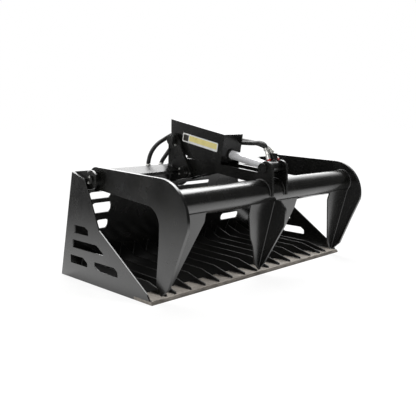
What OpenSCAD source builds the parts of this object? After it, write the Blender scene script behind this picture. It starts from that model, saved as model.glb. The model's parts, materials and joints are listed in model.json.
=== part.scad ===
// Rock grapple for a skid steer loader: a skeleton bucket with one wide lid
// that a single guarded cylinder opens and closes.
// Millimetres. X runs along the cutting edge, Y from the edge to the rear,
// Z up from the ground. The lid is drawn closed.

/* [Bucket] */
// Overall width over the side plates
overall_width = 1829; // [1500:1:2200]
// Depth from the cutting edge to the rear foot of the side plates
bucket_depth = 940; // [860:1:1040]
// Height of the side plates at their rear top corner
side_height = 683; // [640:1:720]
// Forward lean of the rear edge over the side height
rear_lean = 170; // [140:1:200]
// Thickness of the side plates
side_thickness = 10; // [6:0.5:14]
// Height of the cut-outs in the side plates
side_slot_height = 52; // [36:1:58]
// Depth of the cutting edge, front to back
edge_depth = 165; // [120:1:200]
// Thickness of the cutting edge
edge_thickness = 20; // [14:0.5:25]
// Step of the back plate inside the rear edge of the side plates
back_step = 40; // [30:1:55]
// Thickness of the back plate
back_thickness = 8; // [6:0.5:12]
// Height of the back plate, up to the underside of the top rail
back_height = 640; // [600:1:650]

/* [Tines] */
// Number of tines, an odd number
tine_count = 15; // [11:2:15]
// Distance from tine to tine
tine_pitch = 119; // [90:1:120]
// Distance of the outermost tines from the side plates
tine_side_gap = 119; // [90:1:130]
// Thickness of a tine
tine_thickness = 10; // [6:0.5:14]
// Height of a tine at its rear knee
tine_height = 87; // [70:1:110]
// Height of a tine where it meets the back plate
tine_heel_height = 144; // [120:1:170]

/* [Top rail and quick attach] */
// Height of the top rail section
rail_height = 50; // [44:1:60]
// Depth of the top rail section
rail_depth = 48; // [40:1:60]
// Wall of the top rail
rail_wall = 6; // [4:0.5:8]
// Reach of the sloping rail top, from its rear edge forward
rail_shelf_depth = 115; // [100:1:118]
// Fall of the rail top over that reach
rail_shelf_drop = 38; // [20:1:42]
// Width of the quick attach lip and foot
attach_width = 1143; // [1100:1:1200]
// Height from the attach foot to the attach lip
attach_height = 450; // [430:1:470]
// Length of a locking wedge slot
wedge_slot_length = 70; // [60:1:80]
// Width of a locking wedge slot
wedge_slot_width = 22; // [18:1:28]
// Distance between the two locking wedge slots
wedge_slot_spacing = 850; // [800:1:900]

/* [Hinge line] */
// Distance of the hinge axis behind the cutting edge
hinge_y = 600; // [580:1:615]
// Height of the hinge axis
hinge_z = 650; // [640:1:665]
// Radius of the hinge pins and cylinder pins
pin_radius = 19; // [16:0.5:22]
// Running clearance of a pin in its bore, on the radius
pin_clearance = 0.05; // [0.02:0.01:0.1]
// Radius of the hinge hubs
hub_radius = 47; // [38:1:52]
// Thickness of the hinge ears
ear_thickness = 14; // [10:0.5:18]
// Width of the cap strip between side plate and ear
cap_width = 25; // [18:1:30]

/* [Lid] */
// Reach of the lid's nose ahead of the cutting edge
nose_overhang = 222; // [180:1:260]
// Height of the top of the lid's nose
nose_top = 703; // [690:1:730]
// Radius of the outer bend of the lid arms
nose_radius = 227; // [190:1:240]
// Width of the front leg of a lid arm
front_leg_width = 230; // [200:1:250]
// Depth of the beam of a lid arm
arm_beam_depth = 160; // [140:1:180]
// Radius of the inner bend of the lid arms
throat_radius = 110; // [80:1:130]
// Thickness of the lid arms
arm_thickness = 20; // [14:0.5:25]
// Gap between an ear's inner face and a lid arm
arm_gap = 25.5; // [20:0.5:32]
// Radius of the root of a lid arm about the hinge
arm_root_radius = 75; // [66:1:82]
// Height of the claw tips above the ground
tip_height = 38; // [32:1:50]
// Outer radius of the cross tube
tube_radius = 79; // [60:1:85]
// Wall of the cross tube
tube_wall = 10; // [6:0.5:14]
// Distance of the cross tube ahead of the cutting edge
tube_overhang = 62; // [50:1:75]
// Height of the cross tube's centre
tube_z = 560; // [550:1:575]

/* [Claws] */
// Half width of the centre claw at the tube
claw_half_width = 233; // [180:1:260]
// Width of a side claw at the tube
side_claw_width = 222; // [180:1:260]
// Thickness of the claw plates
claw_thickness = 10; // [6:0.5:14]
// Thickness of the centre fin
fin_thickness = 16; // [10:0.5:20]

/* [Centre arms] */
// Outer faces of the centre arms, from the middle
centre_arm_face = 78; // [76:0.5:79]
// Thickness of the centre arms
centre_arm_thickness = 18; // [12:0.5:20]
// Distance of the rod pin ahead of the cutting edge
rod_pin_overhang = 80; // [75:1:85]
// Height of the rod pin
rod_pin_z = 712; // [705:1:720]
// Radius of the lug round the rod pin
lug_radius = 53; // [48:1:58]

/* [Mast] */
// Distance of the cylinder base pin behind the cutting edge
base_pin_y = 717; // [705:1:730]
// Height of the cylinder base pin
base_pin_z = 861; // [850:1:875]
// Inner faces of the mast plates, from the middle
mast_inner = 101; // [98:0.5:108]
// Thickness of the mast plates
mast_thickness = 20; // [14:0.5:25]
// Radius of the mast round the base pin
mast_top_radius = 48; // [40:1:52]
// Radius of the mast round the hinge
mast_hinge_radius = 50; // [44:1:54]

/* [Cylinder] */
// Outer radius of the barrel
barrel_radius = 52; // [46:0.5:54]
// Wall of the barrel
barrel_wall = 7; // [5:0.5:9]
// Distance from the base pin to the front face of the gland
gland_reach = 449; // [440:1:460]
// Radius of the rod
rod_radius = 29; // [22:0.5:30]
// Running clearance of rod and piston, on the radius
rod_clearance = 0.05; // [0.02:0.01:0.1]
// Radius of the base eye and the rod eye
eye_radius = 38; // [34:0.5:40]
// Half width of the rod eye
rod_eye_half = 32; // [30:0.5:34]

/* [Guard] */
// Half width of the guard over its sides
guard_half_width = 90; // [86:0.5:92]
// Thickness of the guard sheet
guard_sheet = 6; // [4:0.5:7]
// Height of the guard's top above the cylinder axis
guard_rise = 135; // [120:1:150]
// Distance from the base pin to the guard's front
guard_front = 458; // [454:1:466]
// Overhang of the guard behind the base pin
guard_tail = 62; // [50:1:70]

/* [Hoses] */
// Radius of the hoses
hose_radius = 15; // [11:0.5:15.5]
// Radius of the quick couplers
coupler_radius = 14; // [10:0.5:14]
// Length of a quick coupler
coupler_length = 60; // [50:1:70]

/* [Hidden] */
$fn = 64;

overrun = 5;
slide_gap = 0.5;
shelf_lip = 20;
origin_y = (bucket_depth - nose_overhang) / 2;

steel = [0.13, 0.13, 0.12];
worn_steel = [0.45, 0.41, 0.36];
chrome = [0.8, 0.8, 0.82];
zinc = [0.66, 0.66, 0.62];
rubber = [0.07, 0.07, 0.07];

// Planes and lines that several pieces share
lean = rear_lean / side_height;
side_inner = overall_width / 2 - side_thickness;
ear_outer = overall_width / 2 - cap_width;
ear_inner = ear_outer - ear_thickness;
arm_outer = ear_inner - arm_gap;
arm_inner = arm_outer - arm_thickness;
centre_arm_inner = centre_arm_face - centre_arm_thickness;
mast_outer = mast_inner + mast_thickness;
back_foot = bucket_depth - back_step;
back_run = back_thickness * sqrt(1 + lean * lean);
rail_top = back_height + rail_height;
rail_rear = bucket_depth - rear_lean;
rail_front = rail_rear - rail_depth;
shelf_front = rail_rear - rail_shelf_depth;
hinge = [hinge_y, hinge_z];
base_pin_at = [base_pin_y, base_pin_z];
rod_pin_at = [-rod_pin_overhang, rod_pin_z];
tube_at = [-tube_overhang, tube_z];
pin_bore = pin_radius + pin_clearance;

function back_y(z) = back_foot - lean * z;
function back_rear(z) = back_y(z) + back_run;
function shelf_z(y) = rail_top - rail_shelf_drop * (rail_rear - y) / rail_shelf_depth;
function arc(centre, radius, from, to, steps) =
    [for (i = [0:steps]) let (a = from + (to - from) * i / steps)
        centre + radius * [cos(a), sin(a)]];

// A plate cut in the side view, standing across X from one face to another
module plate_x(from, to) {
    translate([from, 0, 0])
        rotate([90, 0, 90])
            linear_extrude(to - from)
                children();
}

module bar_x(at, radius, from, to, sides = $fn) {
    translate([from, at[0], at[1]])
        rotate([0, 90, 0])
            cylinder(h = to - from, r = radius, $fn = sides);
}

// The same plate or bar on the left (-1) or the right (1), inner face first
module plate_side(side, inner, outer) {
    plate_x(side < 0 ? -outer : inner, side < 0 ? -inner : outer)
        children();
}

module bar_side(side, at, radius, inner, outer, sides = $fn) {
    bar_x(at, radius, side < 0 ? -outer : inner, side < 0 ? -inner : outer, sides);
}

// Angle of the outer tangent to two circles, on the left of the way from a to b
function tangent_angle(a, ra, b, rb) =
    let (d = b - a) atan2(d[1], d[0]) - acos((ra - rb) / norm(d));

// Bucket

module cutting_edge() {
    bevel_run = edge_thickness * 0.6;
    bevel_rise = edge_thickness * 0.6;
    color(worn_steel)
        plate_x(-overall_width / 2, overall_width / 2)
            polygon([[0, 0], [edge_depth, 0], [edge_depth, edge_thickness],
                     [bevel_run, edge_thickness], [0, edge_thickness - bevel_rise]]);
}

// Front corner, kink and toe of a side plate as shares of its depth and height
side_corner_shares = [0.668, 0.947];
side_kink_shares = [0.527, 0.517];
side_toe_shares = [0.053, 0.085];

// Cut-outs: front and rear end as shares of the depth, foot as a share of the
// height, then front chamfer run and drop and rear chamfer as shares of the
// cut-out's own height
side_slot_shares = [
    [0.650, 0.814, 0.442, 0.75, 0.30, 0],
    [0.485, 0.840, 0.300, 1.30, 0.80, 0],
    [0.671, 0.872, 0.148, 0.90, 0.50, 0],
    [0.335, 0.586, 0.142, 0.65, 0.40, 0.85]];

module side_slot(shares) {
    front = shares[0] * bucket_depth;
    rear = shares[1] * bucket_depth;
    foot = shares[2] * side_height;
    top = foot + side_slot_height;
    run = shares[3] * side_slot_height;
    drop = shares[4] * side_slot_height;
    chamfer = shares[5] * side_slot_height;
    polygon([[front, foot], [rear - chamfer, foot], [rear, foot + chamfer / 2],
             [rear, top], [front + run, top], [front, top - drop]]);
}

module side_outline() {
    polygon([[edge_depth, 0], [bucket_depth, 0], [rail_rear, side_height],
             [side_corner_shares[0] * bucket_depth, side_corner_shares[1] * side_height],
             [side_kink_shares[0] * bucket_depth, side_kink_shares[1] * side_height],
             [side_toe_shares[0] * bucket_depth, side_toe_shares[1] * side_height],
             [edge_thickness, edge_thickness], [edge_depth, edge_thickness]]);
}

module side_plate(side) {
    color(steel)
        plate_side(side, side_inner, overall_width / 2)
            difference() {
                side_outline();
                for (shares = side_slot_shares)
                    side_slot(shares);
            }
}

// Strip that closes the top of the gap between side plate and ear
module side_caps() {
    strip = side_thickness * 0.6;
    front = side_corner_shares[0] * bucket_depth;
    front_z = side_corner_shares[1] * side_height;
    color(steel)
        for (side = [-1, 1])
            plate_side(side, ear_outer, overall_width / 2)
                polygon([[front, front_z], [rail_rear, side_height],
                         [rail_rear, side_height + strip], [front, front_z + strip]]);
}

ear_radius = 58;
ear_foot = 560;

module hinge_ear(side) {
    color(steel)
        difference() {
            plate_side(side, ear_inner, ear_outer)
                union() {
                    translate(hinge)
                        circle(ear_radius);
                    polygon([[hinge_y, hinge_z + ear_radius], [rail_rear, rail_top],
                             [rail_rear, back_height],
                             [back_y(back_height), back_height],
                             [back_y(ear_foot), ear_foot],
                             [hinge_y, hinge_z - ear_radius]]);
                }
            bar_side(side, hinge, pin_radius, ear_inner - overrun, ear_outer + overrun);
        }
}

// Cut-outs of the back plate on the right half: near end, far end and foot as
// shares of the inside half width and of the plate's height, and their heights
back_slot_shares = [
    [0.689, 0.879, 0.780],
    [0.676, 0.841, 0.625],
    [0.686, 0.789, 0.452],
    [0.553, 0.774, 0.300]];
back_slot_heights = [48, 72, 62, 54];
back_slot_radius = 22;
middle_slot_near = -35;
middle_slot_far = 289;
middle_slot_foot = 524;
middle_slot_height = 24;

// A round-ended cut-out through the leaning back plate
module back_slot(near, far, foot, height) {
    radius = min(back_slot_radius, height / 2);
    translate([0, back_y(foot), foot])
        rotate([90 + atan(lean), 0, 0])
            translate([0, 0, -back_run - overrun])
                linear_extrude(back_run + 2 * overrun) {
                    translate([near + radius, 0])
                        square([far - near - 2 * radius, height]);
                    translate([near, radius])
                        square([far - near, height - 2 * radius + slide_gap]);
                    for (x = [near + radius, far - radius])
                        for (y = [radius, height - radius])
                            translate([x, y])
                                circle(radius);
                }
}

module back_plate() {
    color(steel)
        difference() {
            plate_x(-side_inner, side_inner)
                polygon([[back_y(0), 0], [back_rear(0), 0],
                         [back_rear(back_height), back_height],
                         [back_y(back_height), back_height]]);
            for (side = [0, 1], i = [0:side == 0 ? 3 : 2])
                mirror([side, 0, 0])
                    back_slot(back_slot_shares[i][0] * side_inner,
                              back_slot_shares[i][1] * side_inner,
                              back_slot_shares[i][2] * back_height,
                              back_slot_heights[i]);
            back_slot(middle_slot_near, middle_slot_far, middle_slot_foot,
                      middle_slot_height);
        }
}

// Box section with a sloping top, which runs on as a lipped shelf beside the mast
module top_rail() {
    wall = rail_wall;
    under = back_height + wall;
    shelf_end = arm_inner - 2 * hub_inset;
    color(steel) {
        difference() {
            plate_x(-ear_inner, ear_inner)
                polygon([[rail_front, back_height], [rail_rear, back_height],
                         [rail_rear, rail_top], [rail_front, shelf_z(rail_front)]]);
            plate_x(-ear_inner - overrun, ear_inner + overrun)
                polygon([[rail_front + wall, under], [rail_rear - wall, under],
                         [rail_rear - wall, shelf_z(rail_rear - wall) - wall],
                         [rail_front + wall, shelf_z(rail_front + wall) - wall]]);
        }
        for (side = [-1, 1])
            plate_side(side, mast_outer, shelf_end)
                polygon([[rail_front, shelf_z(rail_front)],
                         [shelf_front, shelf_z(shelf_front)],
                         [shelf_front, shelf_z(shelf_front) - shelf_lip],
                         [shelf_front + wall, shelf_z(shelf_front) - shelf_lip],
                         [shelf_front + wall, shelf_z(shelf_front + wall) - wall],
                         [rail_front, shelf_z(rail_front) - wall]]);
    }
}

function tine_x(i) =
    let (k = i - (tine_count + 1) / 2, last = side_inner - tine_side_gap)
    i == 1 ? -last : i == tine_count ? last : k * tine_pitch;

// Start, front knee and rear knee of a tine as shares of the bucket depth,
// and heights as shares of the tine height
tine_start_share = 0.031;
tine_front_knee_share = 0.202;
tine_rear_knee_share = 0.764;
tine_start_height_share = 0.37;
tine_front_height_share = 0.86;

module tine(i) {
    if (i <= tine_count)
        color(steel)
            plate_x(tine_x(i) - tine_thickness / 2, tine_x(i) + tine_thickness / 2)
                polygon([[tine_start_share * bucket_depth, edge_thickness],
                         [tine_start_share * bucket_depth,
                          max(tine_start_height_share * tine_height, edge_thickness)],
                         [tine_front_knee_share * bucket_depth,
                          tine_front_height_share * tine_height],
                         [tine_rear_knee_share * bucket_depth, tine_height],
                         [back_y(tine_heel_height), tine_heel_height],
                         [back_y(0), 0], [edge_depth, 0],
                         [edge_depth, edge_thickness]]);
}

// Quick attach

attach_foot_z = 25;
attach_plate = 10;
attach_hook_run = 45;
attach_hook_drop = 28;
gusset_leg = 60;
wedge_slot_inset = 8;

module attach_lip() {
    z = attach_foot_z + attach_height;
    y = back_rear(z);
    color(steel)
        plate_x(-attach_width / 2, attach_width / 2)
            polygon([[y, z], [y + attach_hook_run, z],
                     [y + attach_hook_run + attach_hook_drop, z - attach_hook_drop],
                     [y + attach_hook_run + attach_hook_drop - attach_plate,
                      z - attach_hook_drop - attach_plate],
                     [y + attach_hook_run - attach_plate / 2, z - attach_plate],
                     [back_rear(z - attach_plate), z - attach_plate]]);
}

module attach_foot() {
    z = attach_foot_z;
    color(steel)
        difference() {
            plate_x(-attach_width / 2, attach_width / 2)
                polygon([[back_rear(z), z], [bucket_depth, z],
                         [bucket_depth, z + attach_plate],
                         [back_rear(z + attach_plate), z + attach_plate]]);
            for (x = [-wedge_slot_spacing / 2, wedge_slot_spacing / 2])
                translate([x - wedge_slot_length / 2,
                           bucket_depth - wedge_slot_inset - wedge_slot_width,
                           z - overrun])
                    cube([wedge_slot_length, wedge_slot_width,
                          attach_plate + 2 * overrun]);
        }
}

module attach_gussets() {
    under = attach_foot_z + attach_height - attach_plate;
    over = attach_foot_z + attach_plate;
    outermost = attach_width / 2 - attach_plate;
    color(steel)
        for (x = [-outermost, -outermost / 3, outermost / 3, outermost])
            plate_x(x - attach_plate / 2, x + attach_plate / 2) {
                polygon([[back_rear(under), under],
                         [back_rear(under) + attach_hook_run - attach_plate, under],
                         [back_rear(under - gusset_leg), under - gusset_leg]]);
                polygon([[back_rear(over), over], [bucket_depth - attach_plate / 2, over],
                         [back_rear(over + gusset_leg), over + gusset_leg]]);
            }
}

// Mast, pins and their keepers

mast_foot = 560;
mast_boss_radius = 38;
mast_boss_length = 18;
mast_face = mast_outer + mast_boss_length;
head_radius = 33;
side_head_radius = 26;
head_thickness = 10;
hub_inset = 15;
collar_thickness = 9.5;
bolt_radius = 7;
bolt_head = 5;

module mast_outline() {
    front = 360 + tangent_angle(base_pin_at, mast_top_radius, hinge, mast_hinge_radius);
    polygon(concat(
        arc(base_pin_at, mast_top_radius, 0, front, 20),
        arc(hinge, mast_hinge_radius, front, 270, 14),
        [[back_y(mast_foot), mast_foot], [back_y(back_height), back_height],
         [rail_front, back_height], [rail_front, shelf_z(rail_front)],
         [rail_rear, rail_top]]));
}

module mast_plate(side) {
    color(steel)
        difference() {
            union() {
                plate_side(side, mast_inner, mast_outer)
                    mast_outline();
                for (at = [hinge, base_pin_at])
                    bar_side(side, at, mast_boss_radius, mast_outer, mast_face);
            }
            for (at = [hinge, base_pin_at])
                bar_side(side, at, pin_radius, mast_inner - overrun, mast_face + overrun);
        }
}

module side_hinge_pins() {
    color(zinc)
        for (side = [-1, 1]) {
            bar_side(side, hinge, pin_radius, arm_inner - hub_inset - collar_thickness,
                     ear_outer);
            bar_side(side, hinge, side_head_radius, ear_outer,
                     ear_outer + head_thickness);
            bar_side(side, hinge, head_radius, arm_inner - hub_inset - slide_gap
                     - collar_thickness, arm_inner - hub_inset - slide_gap);
        }
}

module through_pin(at) {
    bar_x(at, pin_radius, -mast_face - head_thickness, mast_face + head_thickness);
    for (side = [-1, 1])
        bar_side(side, at, head_radius, mast_face, mast_face + head_thickness);
}

module centre_hinge_pin() {
    color(zinc)
        through_pin(hinge);
}

module base_pin() {
    color(steel)
        through_pin(base_pin_at);
}

keeper_spread = 18;
keeper_reach = mast_boss_radius + bolt_radius + slide_gap;

module keeper_bolts() {
    color(zinc)
        for (side = [-1, 1]) {
            for (turn = [-1, 1]) {
                bar_side(side, hinge + turn * [-keeper_spread / 3, keeper_spread],
                         bolt_radius, ear_outer + head_thickness,
                         ear_outer + head_thickness + bolt_head, 6);
                bar_side(side, hinge + [keeper_spread, turn * keeper_spread], bolt_radius,
                         mast_face + head_thickness,
                         mast_face + head_thickness + bolt_head, 6);
            }
            bar_side(side, base_pin_at - keeper_reach * [cos(45), sin(45)],
                     bolt_radius, mast_outer, mast_outer + head_thickness, 6);
        }
}

// Lid

nose_at = [nose_radius - nose_overhang, nose_top - nose_radius];
throat_at = [front_leg_width + throat_radius - nose_overhang,
             nose_top - arm_beam_depth - throat_radius];

// Front edge of the leg as shares of the nose overhang and of the leg's height,
// inner edge as shares of the throat radius and of the leg's height
leg_front_shares = [[0.64, 0.54], [0.28, 0.125]];
leg_inner_shares = [[0.29, 0.075], [0.36, 0.15], [0.32, 0.27], [0.13, 0.67]];

function leg_z(share) = tip_height + share * (nose_at[1] - tip_height);

module arm_outline() {
    polygon(concat(
        arc(hinge, arm_root_radius, 240, 450, 24),
        arc(nose_at, nose_radius, 90, 189, 22),
        [for (s = leg_front_shares) [-s[0] * nose_overhang, leg_z(s[1])]],
        [[0, tip_height]],
        [for (s = leg_inner_shares) [s[0] * throat_radius, leg_z(s[1])]],
        arc(throat_at, throat_radius, 180, 96, 12)));
}

module lid_arm(side) {
    color(steel)
        difference() {
            plate_side(side, arm_inner, arm_outer)
                arm_outline();
            bar_side(side, hinge, hub_radius, arm_inner - overrun, arm_outer + overrun);
        }
}

module lid_tube() {
    color(steel)
        difference() {
            bar_x(tube_at, tube_radius, -arm_inner, arm_inner);
            bar_x(tube_at, tube_radius - tube_wall, -arm_inner - overrun,
                  arm_inner + overrun);
        }
}

// The claw plates lean back from the tube to the tips on the cutting edge
claw_drop = 56;
claw_top = tube_z - claw_drop;
claw_top_y = -tube_overhang - sqrt(tube_radius * tube_radius - claw_drop * claw_drop);
claw_tip_y = claw_thickness;
claw_rake = atan((claw_tip_y - claw_top_y) / (claw_top - tip_height));
claw_length = (claw_top - tip_height) / cos(claw_rake);

// Half width of the centre claw and width of a side claw, each with the place
// along the claw, as shares of the width at the tube and of the claw's length
centre_claw_shares = [[0.04, 0], [0.24, 0.09], [0.49, 0.37], [0.70, 0.52],
                      [0.97, 0.86], [1, 1.04]];
side_claw_shares = [[0.05, 0], [0.31, 0.13], [1, 0.87], [0.98, 1.04]];

module claw_plate() {
    difference() {
        translate([0, claw_tip_y, tip_height])
            rotate([90 + claw_rake, 0, 0])
                translate([0, 0, -claw_thickness])
                    linear_extrude(claw_thickness)
                        children();
        bar_x(tube_at, tube_radius, -arm_inner - overrun, arm_inner + overrun);
    }
}

module centre_claw_plate() {
    color(steel)
        claw_plate()
            polygon(concat(
                [for (s = centre_claw_shares)
                    [s[0] * claw_half_width, s[1] * claw_length]],
                [for (i = [5:-1:0])
                    [-centre_claw_shares[i][0] * claw_half_width,
                     centre_claw_shares[i][1] * claw_length]]));
}

module side_claw(side) {
    color(steel)
        claw_plate()
            polygon(concat(
                [[side * arm_inner, 0]],
                [for (s = side_claw_shares)
                    [side * (arm_inner - s[0] * side_claw_width), s[1] * claw_length]],
                [[side * arm_inner, side_claw_shares[3][1] * claw_length]]));
}

// Front edge of the fin as shares of the nose overhang and the claw's drop
fin_shares = [[0.71, 1.01], [0.90, 0.92], [0.915, 0.875], [0.89, 0.68], [0.13, 0.08]];

module centre_claw_fin() {
    color(steel)
        difference() {
            plate_x(-fin_thickness / 2, fin_thickness / 2)
                polygon(concat(
                    [[claw_tip_y, tip_height], [claw_top_y, claw_top]],
                    [for (s = fin_shares)
                        [-s[0] * nose_overhang,
                         tip_height + s[1] * (claw_top - tip_height)]]));
            bar_x(tube_at, tube_radius, -arm_inner, arm_inner);
        }
}

lug_forward = 20;
lug_drop = 8;
centre_hub_radius = 42;
spacer_radius = 36;
centre_arm_rise = 85;
centre_arm_crown_share = 0.166;
centre_arm_waist_share = 0.582;
centre_arm_depth = 66;

module centre_arm_outline() {
    lug_at = rod_pin_at - [lug_forward, lug_drop];
    span = hinge_y + rod_pin_overhang;
    crown = [hinge_y - centre_arm_crown_share * span, hinge_z + centre_arm_rise - overrun];
    waist = [hinge_y - centre_arm_waist_share * span, lug_at[1]];
    translate(lug_at)
        circle(lug_radius);
    translate(hinge)
        circle(mast_hinge_radius);
    polygon([[lug_at[0] - lug_radius, lug_at[1]],
             [lug_at[0] - lug_radius, tube_z - lug_forward],
             tube_at,
             [0, tube_z + lug_radius],
             [crown[0] - centre_arm_depth * 2, crown[1] - centre_arm_depth - lug_drop],
             hinge + mast_hinge_radius * [cos(250), sin(250)],
             hinge,
             hinge + [mast_hinge_radius / 2, centre_arm_rise],
             crown, waist,
             [lug_at[0] + lug_radius + lug_forward, lug_at[1] - lug_forward],
             lug_at]);
}

module centre_arm(side) {
    color(steel)
        difference() {
            plate_side(side, centre_arm_inner, centre_arm_face)
                centre_arm_outline();
            bar_side(side, rod_pin_at, pin_radius, centre_arm_inner - overrun,
                     centre_arm_face + overrun);
            bar_side(side, hinge, centre_hub_radius, centre_arm_inner - overrun,
                     centre_arm_face + overrun);
            bar_x(tube_at, tube_radius, -arm_inner, arm_inner);
        }
}

module hinge_hubs() {
    hub_face = mast_inner - slide_gap;
    color(steel) {
        for (side = [-1, 1])
            difference() {
                bar_side(side, hinge, hub_radius, arm_inner - hub_inset,
                         ear_inner - slide_gap);
                bar_side(side, hinge, pin_bore, arm_inner - hub_inset - overrun,
                         ear_inner + overrun);
            }
        difference() {
            bar_x(hinge, centre_hub_radius, -hub_face, hub_face);
            bar_x(hinge, pin_bore, -hub_face - overrun, hub_face + overrun);
        }
    }
}

pin_end_gap = 4;
lug_boss = 14;

module rod_pin_ends() {
    near = rod_eye_half + pin_end_gap;
    color(zinc)
        for (side = [-1, 1]) {
            bar_side(side, rod_pin_at, spacer_radius, near, centre_arm_inner);
            bar_side(side, rod_pin_at, pin_radius, centre_arm_inner, centre_arm_face);
            bar_side(side, rod_pin_at, head_radius, centre_arm_face,
                     centre_arm_face + lug_boss);
        }
}

// Quick couplers, parked on the right lug

bracket_sheet = 3;
coupler_x = centre_arm_inner - bracket_sheet - coupler_radius;
coupler_z = rod_pin_z + spacer_radius + 2 * slide_gap;
dust_cap_height = 8;
coupler_neck = 2;
coupler_reach = dust_cap_height + coupler_length;

// Foot and tilt of the two couplers: one stands on the lug, one beside it
front_coupler_at = [centre_arm_face - bracket_sheet,
                    rod_pin_at[0] + lug_drop, rod_pin_z + 0.77 * lug_radius];
rear_coupler_at = [coupler_x, rod_pin_at[0] + lug_radius - slide_gap, coupler_z + slide_gap];
coupler_tilts = [47, 20];
coupler_feet = [front_coupler_at, rear_coupler_at];

// A place in a coupler's own frame, so far from its foot
function on_coupler(i, reach) =
    coupler_feet[i] + reach * [0, sin(coupler_tilts[i]), cos(coupler_tilts[i])];

module at_coupler(i) {
    translate(coupler_feet[i])
        rotate([-coupler_tilts[i], 0, 0])
            children();
}

module coupler_bracket() {
    color(steel)
        plate_x(centre_arm_inner - bracket_sheet, centre_arm_inner)
            translate([rod_pin_at[0], coupler_z])
                square([lug_radius + 3 * coupler_radius, coupler_length * 0.8]);
}

module quick_couplers() {
    ring = coupler_length / 5;
    color(zinc)
        for (i = [0, 1])
            at_coupler(i)
                translate([0, 0, dust_cap_height]) {
                    cylinder(h = 2 * ring, r = coupler_radius);
                    translate([0, 0, 2 * ring])
                        cylinder(h = ring, r = coupler_radius - coupler_neck);
                    translate([0, 0, 3 * ring])
                        cylinder(h = ring, r = coupler_radius, $fn = 6);
                    translate([0, 0, 4 * ring])
                        cylinder(h = ring, r = coupler_radius - coupler_neck);
                }
}

module dust_caps() {
    color([0.7, 0.1, 0.08])
        for (i = [0, 1])
            at_coupler(i)
                cylinder(h = dust_cap_height, r = coupler_radius - coupler_neck);
}

// Cylinder, drawn from the base pin towards the rod pin along its own Z

cylinder_length = norm(base_pin_at - rod_pin_at);
cylinder_slope = atan2(base_pin_z - rod_pin_z, base_pin_y + rod_pin_overhang);
barrel_bore = barrel_radius - barrel_wall;
gland_radius = barrel_radius + 0.1 * barrel_radius;
nose_ring_radius = rod_radius + 9;
nose_ring_reach = gland_reach + 18;
gland_length = 24;
spigot_length = 25;
base_cap_start = 28;
base_cap_end = 52;
port_spread = 70;
base_port_at = 75;
rod_port_at = 385;
rod_port_turn = 35;
port_boss_radius = 15;
port_nozzle = 32;
piston_at = 350;
piston_length = 35;
seal_depth = 2;

module along_cylinder() {
    translate([0, base_pin_y, base_pin_z])
        rotate([90 + cylinder_slope, 0, 0])
            children();
}

module tube(outer, inner, from, to) {
    difference() {
        translate([0, 0, from])
            cylinder(h = to - from, r = outer);
        translate([0, 0, from - overrun])
            cylinder(h = to - from + 2 * overrun, r = inner);
    }
}

module cylinder_barrel() {
    color(steel)
        along_cylinder()
            tube(barrel_radius, barrel_bore, base_cap_end, gland_reach - gland_length);
}

module cylinder_base_eye() {
    half = mast_inner - slide_gap;
    color(steel)
        along_cylinder()
            difference() {
                union() {
                    bar_x([0, 0], eye_radius, -half, half);
                    translate([0, 0, base_cap_start])
                        cylinder(h = base_cap_end - base_cap_start, r = barrel_radius);
                }
                bar_x([0, 0], pin_bore, -half - overrun, half + overrun);
            }
}

module cylinder_gland() {
    face = gland_reach - gland_length;
    color(steel)
        along_cylinder()
            difference() {
                union() {
                    translate([0, 0, face])
                        cylinder(h = gland_length, r = gland_radius);
                    translate([0, 0, face - spigot_length])
                        cylinder(h = spigot_length, r = barrel_bore);
                    translate([0, 0, gland_reach])
                        cylinder(h = nose_ring_reach - gland_reach, r = nose_ring_radius);
                }
                translate([0, 0, face - spigot_length - overrun])
                    cylinder(h = nose_ring_reach - face + spigot_length + 2 * overrun,
                             r = rod_radius + rod_clearance);
            }
}

module port(at, turn) {
    rotate([0, 0, -turn])
        difference() {
            union() {
                translate([0, barrel_bore, at])
                    rotate([-90, 0, 0])
                        cylinder(h = port_spread - barrel_bore + port_boss_radius,
                                 r = port_boss_radius);
                translate([0, port_spread, at - port_nozzle])
                    cylinder(h = port_nozzle, r = hose_radius);
            }
            translate([0, 0, at - port_nozzle])
                cylinder(h = 2 * port_nozzle, r = barrel_radius);
        }
}

module cylinder_ports() {
    color(zinc)
        along_cylinder() {
            port(base_port_at, 0);
            port(rod_port_at, rod_port_turn);
        }
}

// Lower edge of the guard's sides as shares of its front reach and its rise
guard_edge_shares = [[1, -0.51], [0.65, -0.67], [0.49, -0.675], [0.21, -0.59], [0, 0]];
guard_tail_share = 0.32;
guard_mouth = 46;

module cylinder_guard() {
    color(steel)
        along_cylinder()
            difference() {
                plate_x(-guard_half_width, guard_half_width)
                    polygon(concat(
                        [[guard_rise, guard_front]],
                        [for (s = guard_edge_shares)
                            [s[1] * guard_rise, s[0] * guard_front]],
                        [[guard_tail_share * guard_rise, -guard_tail],
                         [guard_rise, -guard_tail - lug_boss]]));
                translate([guard_sheet - guard_half_width, -2 * guard_rise,
                           -2 * guard_tail])
                    cube([2 * (guard_half_width - guard_sheet),
                          3 * guard_rise - guard_sheet,
                          guard_front - guard_sheet + 2 * guard_tail]);
                translate([guard_sheet - guard_half_width, -2 * guard_rise,
                           guard_front - 2 * guard_sheet])
                    cube([2 * (guard_half_width - guard_sheet),
                          2 * guard_rise - guard_mouth, 3 * guard_sheet]);
                translate([0, 0, guard_front - guard_sheet - overrun])
                    cylinder(h = guard_sheet + 2 * overrun,
                             r = nose_ring_radius + slide_gap);
                bar_x([0, 0], eye_radius, -mast_inner, mast_inner);
            }
}

saddle_places = [110, 310];
saddle_height = 84;
saddle_thickness = 8;
hose_window = 3;

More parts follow.
